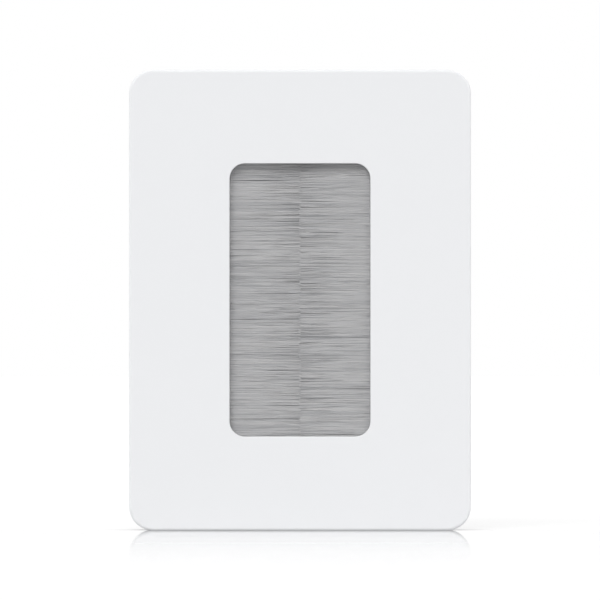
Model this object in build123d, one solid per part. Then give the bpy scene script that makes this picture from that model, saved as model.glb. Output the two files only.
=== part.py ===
from build123d import *
import os

# Cable pass-through wall plate. A screwless cover clips onto a mounting frame, and two strip brushes
# behind the cover's window meet in the middle and let cables through.
# Millimetres. +Z is up, +Y goes into the wall, and the origin is the plate's centre on the wall surface.
# A depth is a distance from the wall surface towards the room, along -Y.
# Pieces that come in pairs are drawn on the right or at the top and given a half turn for the other one.

# Cover
PLATE_WIDTH = 90.0
PLATE_HEIGHT = 121.3
PLATE_DEPTH = 8.0
PLATE_CORNER_RADIUS = 6.3
FRONT_WALL = 2.0
SKIRT_WALL = 1.8
FRONT_EDGE_RADIUS = 0.7
INNER_EDGE_BEVEL = 0.6
RIM_GAP = 0.4
PRY_NOTCH_WIDTH = 8.0
PRY_NOTCH_HEIGHT = 1.2

# Window
WINDOW_WIDTH = 37.1
WINDOW_HEIGHT = 71.9
WINDOW_CORNER_RADIUS = 4.05
WINDOW_EDGE_RADIUS = 0.2

# Ribs on the back of the cover
RIB_WALL = 1.2
RIB_HEIGHT = 1.2
RAIL_HEIGHT = 2.4
END_RIB_PITCH = 14.0
END_RIB_COUNT = 5

# Strip brushes
CHANNEL_THICKNESS = 3.2
CHANNEL_WIDTH = 5.0
CHANNEL_SHEET = 0.5
CHANNEL_OVERRUN = 1.25
MOUTH_SETBACK = 1.0
SEAT_CLEARANCE = 0.15
WIRE_DIAMETER = 0.9
WIRE_CLEARANCE = 0.05
PACK_CLEARANCE = 0.03
PACK_OVERRUN = 0.8
TUFT_PITCH = 1.2
TUFT_RELIEF = 0.22
TIP_GAP = 0.14
TIP_SPREAD = 0.8
SPLIT_WIDTH = 0.2
SPLIT_LENGTH = 6.0

# Straps that hold the brushes, and their screws
CLAMP_SHEET = 1.0
CLAMP_SETBACK = 0.6
CLAMP_INSET = 3.2
CLAMP_CORNER_RADIUS = 2.0
CLAMP_FLANGE_HEIGHT = 1.2
CLAMP_FLANGE_CLEARANCE = 0.4
CLAMP_SCREW_RADIUS = 1.1
CLAMP_SCREW_LENGTH = 3.6
CLAMP_SCREW_SPACING = 48.0
CLAMP_HOLE_CLEARANCE = 0.2
CLAMP_HEAD_RADIUS = 2.0
CLAMP_HEAD_HEIGHT = 1.3
CLAMP_DRIVE_SPAN = 2.2
CLAMP_DRIVE_WIDTH = 0.5
CLAMP_DRIVE_DEPTH = 0.7
PILOT_CLEARANCE = 0.03
PILOT_EXTRA = 0.4
BOSS_RADIUS = 2.75

# Mounting frame
FRAME_THICKNESS = 2.0
FRAME_CLEARANCE = 0.3
FRAME_WALL = 1.4
FRAME_RIB_HEIGHT = 2.0
FRAME_END_RIB_PITCH = 20.0
FRAME_END_RIB_COUNT = 4
FRAME_SIDE_RIB_PITCH = 17.5
FRAME_SIDE_RIB_COUNT = 3
FRAME_CROSS_RIB_INSET = 8.0
APERTURE_CLEARANCE = 0.85
APERTURE_OVERRUN = 0.55
APERTURE_CORNER_RADIUS = 3.0

# Snap teeth of the cover and their notches in the frame
TOOTH_REACH = 1.0
TOOTH_TIP_REACH = 0.3
TOOTH_LEAD = 0.4
TOOTH_LENGTH = 8.0
TOOTH_PLAY = 0.1
NOTCH_DEPTH = 1.2
NOTCH_CLEARANCE = 0.4
SIDE_TOOTH_SPACING = 72.0
END_TOOTH_SPACING = 52.0

# Screws into the wall box
WALL_SCREW_RADIUS = 1.75
WALL_SCREW_NECK_RADIUS = 1.5
WALL_SCREW_REACH = 23.4
WALL_SCREW_POINT = 0.6
WALL_SCREW_HOLE_RADIUS = 2.1
WALL_HEAD_RADIUS = 3.45
WALL_HEAD_HEIGHT = 1.8
WALL_HEAD_CLEARANCE = 0.75
WALL_SEAT_THICKNESS = 1.2
WALL_SEAT_LAND = 0.95
WALL_DRIVE_SPAN = 4.2
WALL_DRIVE_WIDTH = 0.9
WALL_DRIVE_DEPTH = 1.0

# Cover cavity
INNER_DEPTH = PLATE_DEPTH - FRONT_WALL
CAVITY_WIDTH = PLATE_WIDTH - 2 * SKIRT_WALL
CAVITY_HEIGHT = PLATE_HEIGHT - 2 * SKIRT_WALL
CAVITY_CORNER_RADIUS = PLATE_CORNER_RADIUS - SKIRT_WALL
RIB_DEPTH = INNER_DEPTH - RIB_HEIGHT

# Channel and bristles of the right brush
MOUTH_X = WINDOW_WIDTH / 2 + MOUTH_SETBACK
CHANNEL_BACK_X = MOUTH_X + CHANNEL_WIDTH
CHANNEL_LENGTH = WINDOW_HEIGHT + 2 * CHANNEL_OVERRUN
CHANNEL_REAR_DEPTH = INNER_DEPTH - CHANNEL_THICKNESS
BRUSH_DEPTH = INNER_DEPTH - CHANNEL_THICKNESS / 2
FOLD_X = CHANNEL_BACK_X - CHANNEL_THICKNESS / 2
PACK_THICKNESS = CHANNEL_THICKNESS - 2 * CHANNEL_SHEET - 2 * PACK_CLEARANCE
PACK_HEIGHT = WINDOW_HEIGHT + 2 * PACK_OVERRUN
TUFT_COUNT = 2 * round(PACK_HEIGHT / TUFT_PITCH / 2)

# Rail, end stops, bosses and strap beside the right channel
RAIL_X = CHANNEL_BACK_X + SEAT_CLEARANCE
STOP_Z = CHANNEL_LENGTH / 2 + SEAT_CLEARANCE
BOSS_X = RAIL_X + RIB_WALL / 2 + BOSS_RADIUS
CLAMP_INNER_X = MOUTH_X + CLAMP_SETBACK
CLAMP_FLANGE_X = BOSS_X + BOSS_RADIUS + CLAMP_FLANGE_CLEARANCE
CLAMP_OUTER_X = CLAMP_FLANGE_X + CLAMP_SHEET
CLAMP_REAR_DEPTH = CHANNEL_REAR_DEPTH - CLAMP_SHEET
CLAMP_LENGTH = CHANNEL_LENGTH - 2 * CLAMP_INSET

# Frame outline and aperture
FRAME_WIDTH = CAVITY_WIDTH - 2 * FRAME_CLEARANCE
FRAME_HEIGHT = CAVITY_HEIGHT - 2 * FRAME_CLEARANCE
FRAME_CORNER_RADIUS = CAVITY_CORNER_RADIUS - FRAME_CLEARANCE
FRAME_RIB_DEPTH = FRAME_THICKNESS + FRAME_RIB_HEIGHT
APERTURE_WIDTH = 2 * (CLAMP_OUTER_X + APERTURE_CLEARANCE)
APERTURE_HEIGHT = WINDOW_HEIGHT + 2 * APERTURE_OVERRUN

# Wall screws just above and below the aperture, at the 83.3 mm of a single-gang wall box
WALL_SEAT_RADIUS = WALL_HEAD_RADIUS + WALL_HEAD_CLEARANCE
WALL_SCREW_SPACING = APERTURE_HEIGHT + 2 * (WALL_SEAT_LAND + WALL_SEAT_RADIUS)

GOLDEN_FRACTION = (5 ** 0.5 - 1) / 2
HALF_TURN = Rot(0, 180, 0)
UPRIGHT_PLAN = Plane(origin=(0, 0, 0), x_dir=(1, 0, 0), z_dir=(0, 0, -1))
TO_ROOM = Rot(90, 0, 0)
TO_WALL = Rot(-90, 0, 0)


def slab(sketch, back, front):
    """Prism of a sketch seen from the room, between two depths."""
    return extrude(Plane.XZ.offset(back) * sketch, amount=front - back)


def upright(section, length):
    """Prism of a section drawn as sideways place and depth, centred on mid height."""
    return extrude(UPRIGHT_PLAN * section, amount=length / 2, both=True)


def span(low_x, high_x, low_y, high_y):
    """Rectangle between two corners."""
    return Pos((low_x + high_x) / 2, (low_y + high_y) / 2) * Rectangle(high_x - low_x, high_y - low_y)


def row(pitch, count):
    """Evenly spaced places, centred on zero."""
    return [pitch * (index - (count - 1) / 2) for index in range(count)]


def with_half_turn(sketch):
    """A sketch seen from the room, together with its half turn about the plate's centre."""
    return sketch + Rot(0, 0, 180) * sketch


def front_face(part):
    """Face that lies nearest to the room."""
    return part.faces().sort_by(Axis.Y)[0]


def clamp_screw_places():
    """Sketch places of the right strap's two screws."""
    return [Pos(BOSS_X, z) for z in row(CLAMP_SCREW_SPACING, 2)]


def snap_sites():
    """Places on the skirt's inner face where a tooth stands, with local +X pointing outwards."""
    right = [Pos(CAVITY_WIDTH / 2, 0, z) for z in row(SIDE_TOOTH_SPACING, 2)]
    top = [Rot(0, -90, 0) * Pos(CAVITY_HEIGHT / 2, 0, x) for x in row(END_TOOTH_SPACING, 2)]
    return [turn * site for turn in (Rot(0, 0, 0), HALF_TURN) for site in right + top]


def cover_shell():
    """Moulded dish with rounded edges and the cable window."""
    outline = RectangleRounded(PLATE_WIDTH, PLATE_HEIGHT, PLATE_CORNER_RADIUS)
    shell = slab(outline, RIM_GAP, PLATE_DEPTH)
    shell = fillet(front_face(shell).edges(), FRONT_EDGE_RADIUS)
    cavity = RectangleRounded(CAVITY_WIDTH, CAVITY_HEIGHT, CAVITY_CORNER_RADIUS)
    hollow = slab(cavity, RIM_GAP, INNER_DEPTH)
    hollow = chamfer(front_face(hollow).edges(), INNER_EDGE_BEVEL)
    window = RectangleRounded(WINDOW_WIDTH, WINDOW_HEIGHT, WINDOW_CORNER_RADIUS)
    shell = shell - hollow - slab(window, INNER_DEPTH, PLATE_DEPTH)
    return fillet(front_face(shell).inner_wires().edges(), WINDOW_EDGE_RADIUS)


def channel_seats():
    """Rails and end stops round both channels."""
    outer_x = RAIL_X + RIB_WALL
    outer_z = STOP_Z + RIB_WALL
    seat = span(RAIL_X, outer_x, -outer_z, outer_z)
    seat += span(CLAMP_INNER_X, outer_x, STOP_Z, outer_z)
    seat += span(CLAMP_INNER_X, outer_x, -outer_z, -STOP_Z)
    return slab(with_half_turn(seat), INNER_DEPTH - RAIL_HEIGHT, INNER_DEPTH)


def cover_ribs():
    """Ribs from the bosses to the skirt and above and below the window, which rest on the frame."""
    ribs = Sketch()
    for z in row(CLAMP_SCREW_SPACING, 2):
        ribs += Pos(0, z) * span(BOSS_X, CAVITY_WIDTH / 2, -RIB_WALL / 2, RIB_WALL / 2)
    for x in row(END_RIB_PITCH, END_RIB_COUNT):
        ribs += Pos(x, 0) * span(-RIB_WALL / 2, RIB_WALL / 2, STOP_Z + RIB_WALL, CAVITY_HEIGHT / 2)
    return slab(with_half_turn(ribs), RIB_DEPTH, INNER_DEPTH)


def cover_bosses():
    """Posts that take the strap screws."""
    posts = Sketch() + [place * Circle(BOSS_RADIUS) for place in clamp_screw_places()]
    return slab(with_half_turn(posts), CHANNEL_REAR_DEPTH, INNER_DEPTH)


def pilot_holes():
    """Blind holes of the strap screws, which leave the front wall whole."""
    pilots = Sketch() + [place * Circle(CLAMP_SCREW_RADIUS + PILOT_CLEARANCE) for place in clamp_screw_places()]
    end_depth = CLAMP_REAR_DEPTH + CLAMP_SCREW_LENGTH + PILOT_EXTRA
    return slab(with_half_turn(pilots), CHANNEL_REAR_DEPTH, end_depth)


def snap_tooth():
    """Tooth with a sloped lead, drawn from the skirt's inner face."""
    hold_depth = NOTCH_DEPTH - TOOTH_PLAY
    section = Polygon(
        (SKIRT_WALL / 2, RIM_GAP),
        (SKIRT_WALL / 2, hold_depth),
        (-TOOTH_REACH, hold_depth),
        (-TOOTH_REACH, RIM_GAP + TOOTH_LEAD),
        (-TOOTH_TIP_REACH, RIM_GAP),
        align=None,
    )
    return upright(section, TOOTH_LENGTH)


def front_cover():
    """Cover with its rear ribs, bosses and teeth, and a notch below for prying it off."""
    cover = cover_shell() + channel_seats() + cover_ribs() + cover_bosses()
    cover += [site * snap_tooth() for site in snap_sites()]
    pry_notch = Pos(0, -PLATE_HEIGHT / 2) * Rectangle(PRY_NOTCH_WIDTH, 2 * SKIRT_WALL)
    return cover - pilot_holes() - slab(pry_notch, RIM_GAP, RIM_GAP + PRY_NOTCH_HEIGHT)


def frame_ribs():
    """Lattice of ribs on the frame, beside the aperture and across its two end bars."""
    wall_x = FRAME_WIDTH / 2 - FRAME_WALL
    wall_z = FRAME_HEIGHT / 2 - FRAME_WALL
    edge_x = APERTURE_WIDTH / 2
    cross_z = wall_z - FRAME_CROSS_RIB_INSET
    ribs = span(edge_x, edge_x + RIB_WALL, -CLAMP_LENGTH / 2, CLAMP_LENGTH / 2)
    ribs += Pos(0, cross_z) * span(-wall_x, wall_x, -RIB_WALL / 2, RIB_WALL / 2)
    for z in row(FRAME_SIDE_RIB_PITCH, FRAME_SIDE_RIB_COUNT):
        ribs += Pos(0, z) * span(edge_x, wall_x, -RIB_WALL / 2, RIB_WALL / 2)
    for x in row(FRAME_END_RIB_PITCH, FRAME_END_RIB_COUNT):
        ribs += Pos(x, 0) * span(-RIB_WALL / 2, RIB_WALL / 2, STOP_Z + 2 * RIB_WALL, wall_z)
    return slab(with_half_turn(ribs), FRAME_THICKNESS, FRAME_RIB_DEPTH)


def snap_notch():
    """Room behind the frame's edge for one tooth, drawn from the skirt's inner face."""
    section = span(-TOOTH_REACH - NOTCH_CLEARANCE, 0, 0, NOTCH_DEPTH)
    return upright(section, TOOTH_LENGTH + 2 * NOTCH_CLEARANCE)


def mounting_frame():
    """Ribbed frame with the aperture, the wall screws' seats and the notches for the cover's teeth."""
    outline = RectangleRounded(FRAME_WIDTH, FRAME_HEIGHT, FRAME_CORNER_RADIUS)
    inside = RectangleRounded(
        FRAME_WIDTH - 2 * FRAME_WALL,
        FRAME_HEIGHT - 2 * FRAME_WALL,
        FRAME_CORNER_RADIUS - FRAME_WALL,
    )
    frame = slab(outline, 0, FRAME_THICKNESS) + slab(outline - inside, FRAME_THICKNESS, RIB_DEPTH)
    frame += frame_ribs()
    place = Pos(0, WALL_SCREW_SPACING / 2)
    head_room = with_half_turn(place * Circle(WALL_SEAT_RADIUS))
    hole = with_half_turn(place * Circle(WALL_SCREW_HOLE_RADIUS))
    aperture = RectangleRounded(APERTURE_WIDTH, APERTURE_HEIGHT, APERTURE_CORNER_RADIUS)
    frame = frame - slab(aperture, 0, FRAME_THICKNESS) - slab(hole, 0, WALL_SEAT_THICKNESS)
    frame -= slab(head_room, WALL_SEAT_THICKNESS, FRAME_RIB_DEPTH)
    return frame - [site * snap_notch() for site in snap_sites()]


def channel_section(half_thickness):
    """Section with straight legs and a round fold, from the mouth of the right channel outwards."""
    legs = span(MOUTH_X, FOLD_X, BRUSH_DEPTH - half_thickness, BRUSH_DEPTH + half_thickness)
    return legs + Pos(FOLD_X, BRUSH_DEPTH) * Circle(half_thickness)


def brush_channel():
    """Sheet metal channel folded to a U, open towards the window."""
    outside = CHANNEL_THICKNESS / 2
    return upright(channel_section(outside) - channel_section(outside - CHANNEL_SHEET), CHANNEL_LENGTH)


def core_wire():
    """Wire in the channel's fold."""
    return upright(Pos(FOLD_X, BRUSH_DEPTH) * Circle(WIRE_DIAMETER / 2), CHANNEL_LENGTH)


def tuft_edges():
    """Heights at which one tuft ends and the next begins."""
    return [PACK_HEIGHT * (index / TUFT_COUNT - 0.5) for index in range(TUFT_COUNT + 1)]


def comb_outline():
    """Bristles seen from the room: tufts of uneven length with narrow splits between their tips.

    A tuft and its half turn across the seam vary by opposite amounts, so the tips mesh with an even gap.
    """
    edges = tuft_edges()
    points = [(MOUTH_X, edges[0])]
    for index in range(TUFT_COUNT):
        from_middle = index - (TUFT_COUNT - 1) / 2
        tip_x = TIP_GAP / 2 + TIP_SPREAD * (from_middle * GOLDEN_FRACTION % 1 - 0.5)
        points.append((tip_x, edges[index] + SPLIT_WIDTH / 2))
        points.append((tip_x, edges[index + 1] - SPLIT_WIDTH / 2))
        points.append((tip_x + SPLIT_LENGTH, edges[index + 1]))
    points[-1] = (MOUTH_X, edges[-1])
    return make_face(Polyline(*points, close=True))


def ridge_section():
    """Bristles in section: a ridge for each tuft on both faces."""
    edges = tuft_edges()
    crest = PACK_THICKNESS / 2
    valley = crest - TUFT_RELIEF
    face = [(valley, edges[0])]
    for low, high in zip(edges, edges[1:]):
        face.append((crest, (low + high) / 2))
        face.append((valley, high))
    other_face = [(-y, z) for y, z in reversed(face)]
    return make_face(Polyline(*face, *other_face, close=True))


def bristles():
    """Bristles folded round the core wire, combed into tufts outside the channel."""
    root = upright(channel_section(PACK_THICKNESS / 2), PACK_HEIGHT)
    root -= upright(Pos(FOLD_X, BRUSH_DEPTH) * Circle(WIRE_DIAMETER / 2 + WIRE_CLEARANCE), PACK_HEIGHT)
    ridges = Pos(MOUTH_X, -BRUSH_DEPTH, 0) * extrude(Plane.YZ * ridge_section(), amount=-MOUTH_X - TIP_SPREAD)
    comb = slab(comb_outline(), BRUSH_DEPTH - PACK_THICKNESS, BRUSH_DEPTH + PACK_THICKNESS)
    return root + (ridges & comb)


def brush_clamp():
    """Angle strap across the channel's rear leg and the two bosses."""
    section = span(CLAMP_INNER_X, CLAMP_OUTER_X, CLAMP_REAR_DEPTH, CHANNEL_REAR_DEPTH)
    section += span(
        CLAMP_FLANGE_X, CLAMP_OUTER_X, CLAMP_REAR_DEPTH, CHANNEL_REAR_DEPTH + CLAMP_FLANGE_HEIGHT
    )
    bend = section.vertices().group_by(Axis.X)[-1].sort_by(Axis.Y)[0]
    section = fillet(bend, CLAMP_SHEET)
    strap = upright(section, CLAMP_LENGTH)
    free_corners = strap.edges().filter_by(Axis.Y).group_by(Axis.X)[0]
    strap = fillet(free_corners, CLAMP_CORNER_RADIUS)
    for place in clamp_screw_places():
        hole = place * Circle(CLAMP_SCREW_RADIUS + CLAMP_HOLE_CLEARANCE)
        strap -= slab(hole, CLAMP_REAR_DEPTH, CHANNEL_REAR_DEPTH)
    return strap


def screw_head(radius, height, drive_span, drive_width, drive_depth):
    """Round head with a cross drive, standing on its seat at the origin along +Z."""
    head = extrude(Circle(radius), amount=height)
    cross = Rectangle(drive_span, drive_width) + Rectangle(drive_width, drive_span)
    return head - extrude(Pos(0, 0, height - drive_depth) * cross, amount=drive_depth)


def shank(radius, start, end):
    """Round shank below the origin, from one distance down to another."""
    return extrude(Pos(0, 0, -end) * Circle(radius), amount=end - start)


def clamp_screws():
    """Strap screws, with heads towards the wall."""
    head = screw_head(
        CLAMP_HEAD_RADIUS, CLAMP_HEAD_HEIGHT, CLAMP_DRIVE_SPAN, CLAMP_DRIVE_WIDTH, CLAMP_DRIVE_DEPTH
    )
    screw = head + shank(CLAMP_SCREW_RADIUS, 0, CLAMP_SCREW_LENGTH)
    right = [Pos(BOSS_X, -CLAMP_REAR_DEPTH, z) * TO_WALL * screw for z in row(CLAMP_SCREW_SPACING, 2)]
    return Compound([turn * each for turn in (Rot(0, 0, 0), HALF_TURN) for each in right])


def wall_screws():
    """Machine screws seated on the frame, with a plain neck in the frame and a shank into the wall box."""
    head = screw_head(
        WALL_HEAD_RADIUS, WALL_HEAD_HEIGHT, WALL_DRIVE_SPAN, WALL_DRIVE_WIDTH, WALL_DRIVE_DEPTH
    )
    neck = shank(WALL_SCREW_NECK_RADIUS, 0, WALL_SEAT_THICKNESS)
    thread = shank(WALL_SCREW_RADIUS, WALL_SEAT_THICKNESS, WALL_SEAT_THICKNESS + WALL_SCREW_REACH)
    thread = chamfer(thread.faces().sort_by(Axis.Z)[0].edges(), WALL_SCREW_POINT)
    screw = Pos(0, -WALL_SEAT_THICKNESS, WALL_SCREW_SPACING / 2) * TO_ROOM * (head + neck + thread)
    return Compound([screw, HALF_TURN * screw])


def main():
    pieces = {
        "front_cover": front_cover(),
        "mounting_frame": mounting_frame(),
        "clamp_screws": clamp_screws(),
        "wall_screws": wall_screws(),
    }
    for name, make in (
        ("brush_channel", brush_channel),
        ("core_wire", core_wire),
        ("bristles", bristles),
        ("brush_clamp", brush_clamp),
    ):
        right = make()
        pieces[name + "_right"] = right
        pieces[name + "_left"] = HALF_TURN * right
    os.makedirs("parts", exist_ok=True)
    for name, piece in pieces.items():
        export_step(piece, f"parts/{name}.step")


main()
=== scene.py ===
"""Looks of a cable pass-through wall plate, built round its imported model.

The plate stands on a white floor under studio light. The cover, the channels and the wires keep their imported
shapes and get their finishes. The bristle packs become single nylon filaments, each folded round its wire,
the screws get threads and cross drives, and the frame and the straps get soft edges.
Metres. +Z is up, +Y goes into the wall, and the plate's front faces -Y.
"""

import logging
import math
from abc import ABC, abstractmethod
from dataclasses import dataclass
from enum import Enum, IntEnum
from functools import cache
from typing import Any

import bmesh
import bpy
from mathutils import Euler, Matrix, Vector


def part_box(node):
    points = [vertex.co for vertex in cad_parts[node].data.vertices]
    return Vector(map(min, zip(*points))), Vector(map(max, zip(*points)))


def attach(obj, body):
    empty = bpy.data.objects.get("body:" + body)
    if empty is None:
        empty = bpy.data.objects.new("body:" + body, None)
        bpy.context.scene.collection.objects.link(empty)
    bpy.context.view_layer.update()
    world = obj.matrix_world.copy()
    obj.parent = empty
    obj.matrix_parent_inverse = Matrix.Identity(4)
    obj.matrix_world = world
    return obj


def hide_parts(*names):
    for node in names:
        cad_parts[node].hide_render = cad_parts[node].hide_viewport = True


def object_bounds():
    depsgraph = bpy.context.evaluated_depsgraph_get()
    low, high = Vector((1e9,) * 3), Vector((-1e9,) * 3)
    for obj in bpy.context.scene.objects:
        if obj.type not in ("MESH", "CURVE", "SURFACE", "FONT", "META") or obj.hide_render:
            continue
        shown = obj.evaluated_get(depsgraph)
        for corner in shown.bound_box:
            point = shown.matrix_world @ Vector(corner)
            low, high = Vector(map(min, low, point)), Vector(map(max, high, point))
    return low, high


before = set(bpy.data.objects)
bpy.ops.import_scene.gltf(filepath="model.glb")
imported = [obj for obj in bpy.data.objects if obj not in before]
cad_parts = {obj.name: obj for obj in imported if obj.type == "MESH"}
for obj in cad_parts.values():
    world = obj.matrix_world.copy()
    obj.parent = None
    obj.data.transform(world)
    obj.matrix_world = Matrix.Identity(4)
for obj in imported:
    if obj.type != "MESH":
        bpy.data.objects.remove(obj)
CAD_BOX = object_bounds()

MM = 0.001
BODY = "root"
GOLDEN_FRACTION = (math.sqrt(5.0) - 1.0) / 2.0
QUARTER_TURN = 0.5 * math.pi
WHITE = (1.0, 1.0, 1.0, 1.0)
# Sockets of the colour mix node by number, because their names repeat for each data type.
MIX_FACTOR, MIX_FIRST, MIX_SECOND, MIX_RESULT = 0, 6, 7, 2
# Attributes that the meshes carry.
TONE, RUN, AROUND, GROOVE, BAKE_MAP = "tone", "run", "around", "groove", "OFBake"

log = logging.getLogger("wall_plate")


class Slot(Enum):
    """Material slots of the record, one for each kind of piece made here."""

    FRAME = "frame_plastic"
    BRISTLE = "bristle_nylon"
    STRAP = "clamp_steel"
    SCREW = "screw_steel"


class Side(Enum):
    """The two strip brushes, with the turn about Y that takes the right one to its place."""

    RIGHT = 0.0
    LEFT = math.pi

    @property
    def word(self) -> str:
        """The side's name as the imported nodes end."""
        return self.name.lower()


class Draw(IntEnum):
    """Random draws of a filament, by the number that keeps them apart."""

    ROOT = 1
    LEAN = 2
    TIP = 3
    TONE = 4
    HALFWAY_LAYER = 5
    TIP_LAYER = 6
    ARCH = 7


@dataclass(frozen=True)
class Tint:
    """A colour in display levels from 0 to 255."""

    red: float
    green: float
    blue: float

    def linear(self) -> tuple[float, float, float, float]:
        """Scene-linear RGBA of the colour."""
        return (*(self._channel(level / 255.0) for level in (self.red, self.green, self.blue)), 1.0)

    @staticmethod
    def _channel(level: float) -> float:
        """Scene-linear value of one display level from 0 to 1."""
        return level / 12.92 if level <= 0.04045 else ((level + 0.055) / 1.055) ** 2.4


class NodeSheet:
    """A node tree with short ways to add, fill and link its nodes."""

    def __init__(self, tree: bpy.types.NodeTree) -> None:
        """Takes over a tree.

        Args:
            tree: Shader or geometry tree that gets the nodes.
        """
        self.tree = tree

    def add(self, kind: str, values: dict[Any, Any] | None = None, **settings: Any) -> bpy.types.Node:
        """Adds a node.

        Args:
            kind: Blender's name of the node type.
            values: Input values by socket name or index; a socket or field is linked.
            settings: Properties of the node, set before its inputs.

        Returns:
            The new node.
        """
        node = self.tree.nodes.new(kind)
        for name, value in settings.items():
            setattr(node, name, value)
        for key, value in (values or {}).items():
            self.feed(node.inputs[key], value)
        return node

    def feed(self, socket: bpy.types.NodeSocket, value: Any) -> None:
        """Links a socket or field to an input, or sets the input's own value.

        Args:
            socket: Input that takes the value.
            value: Field, output socket or plain value.
        """
        if isinstance(value, Field):
            value = value.socket
        if isinstance(value, bpy.types.NodeSocket):
            self.tree.links.new(value, socket)
        else:
            socket.default_value = value

    def field(self, socket: bpy.types.NodeSocket) -> "Field":
        """Makes a socket usable in arithmetic."""
        return Field(self, socket)

    def vector(self, x: Any, y: Any, z: Any) -> bpy.types.NodeSocket:
        """Joins three values into a vector socket."""
        return self.add("ShaderNodeCombineXYZ", {"X": x, "Y": y, "Z": z}).outputs[0]

    def noise(self, dimensions: str = "3D", **values: Any) -> "Field":
        """Noise around one half.

        Args:
            dimensions: 1D, 2D, 3D or 4D.
            values: Inputs of the noise node.

        Returns:
            The noise value.
        """
        return self.field(self.add("ShaderNodeTexNoise", values, noise_dimensions=dimensions).outputs[0])


class Field:
    """A value socket that takes part in plain arithmetic by adding math nodes."""

    def __init__(self, sheet: NodeSheet, socket: bpy.types.NodeSocket) -> None:
        """Wraps a socket.

        Args:
            sheet: Sheet that the math nodes go to.
            socket: Output socket that holds the value.
        """
        self.sheet = sheet
        self.socket = socket

    def math(self, operation: str, *others: Any, clamp: bool = False) -> "Field":
        """Adds a math node.

        Args:
            operation: Blender's name of the operation.
            others: The second and third operands.
            clamp: Whether the result is kept between 0 and 1.

        Returns:
            The result.
        """
        values = dict(enumerate((self, *others)))
        node = self.sheet.add("ShaderNodeMath", values, operation=operation, use_clamp=clamp)
        return Field(self.sheet, node.outputs[0])

    def __add__(self, other: Any) -> "Field":
        """Sum."""
        return self.math("ADD", other)

    def __sub__(self, other: Any) -> "Field":
        """Difference."""
        return self.math("SUBTRACT", other)

    def __mul__(self, other: Any) -> "Field":
        """Product."""
        return self.math("MULTIPLY", other)

    def __truediv__(self, other: Any) -> "Field":
        """Quotient."""
        return self.math("DIVIDE", other)

    def __pow__(self, other: Any) -> "Field":
        """Power."""
        return self.math("POWER", other)

    def clamped(self) -> "Field":
        """The value kept between 0 and 1."""
        return self.math("ADD", 0.0, clamp=True)

    def towards(self, other: "Field", share: "Field | float") -> "Field":
        """Value between this one and another.

        Args:
            other: Value at a share of 1.
            share: Place between the two, from 0 to 1.

        Returns:
            The mixed value.
        """
        return self + (other - self) * share


class GroupSheet(NodeSheet):
    """A node group under construction, with named inputs and outputs."""

    def __init__(self, name: str, kind: str) -> None:
        """Starts an empty group.

        Args:
            name: The group's name.
            kind: ShaderNodeTree or GeometryNodeTree.
        """
        super().__init__(bpy.data.node_groups.new(name, kind))
        self._inputs = self.add("NodeGroupInput")
        self._outputs = self.add("NodeGroupOutput")

    def input(self, name: str, kind: str = "NodeSocketFloat") -> Field:
        """Declares an input.

        Args:
            name: Name of the input.
            kind: Blender's socket type.

        Returns:
            The input as a field.
        """
        self.tree.interface.new_socket(name, in_out="INPUT", socket_type=kind)
        return self.field(self._inputs.outputs[name])

    def store(
        self, source: bpy.types.Node, name: str, value: Any, kind: str = "FLOAT", domain: str = "POINT"
    ) -> bpy.types.Node:
        """Adds a node that writes an attribute.

        Args:
            source: Node whose first output is the geometry.
            name: The attribute's name.
            value: Field, socket or plain value that it holds.
            kind: Blender's name of the value type.
            domain: Part of the geometry that holds it.

        Returns:
            The new node.
        """
        values = {"Geometry": source.outputs[0], "Name": name, "Value": value}
        return self.add("GeometryNodeStoreNamedAttribute", values, data_type=kind, domain=domain)

    def stored(self, name: str) -> Field:
        """Value that the geometry stores under a name."""
        node = self.add("GeometryNodeInputNamedAttribute", {"Name": name}, data_type="FLOAT")
        return self.field(node.outputs[0])

    def output(self, name: str, value: Any, kind: str = "NodeSocketFloat") -> None:
        """Declares an output and links it.

        Args:
            name: Name of the output.
            value: Field or socket that it puts out.
            kind: Blender's socket type.
        """
        self.tree.interface.new_socket(name, in_out="OUTPUT", socket_type=kind)
        self.feed(self._outputs.inputs[name], value)


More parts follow.
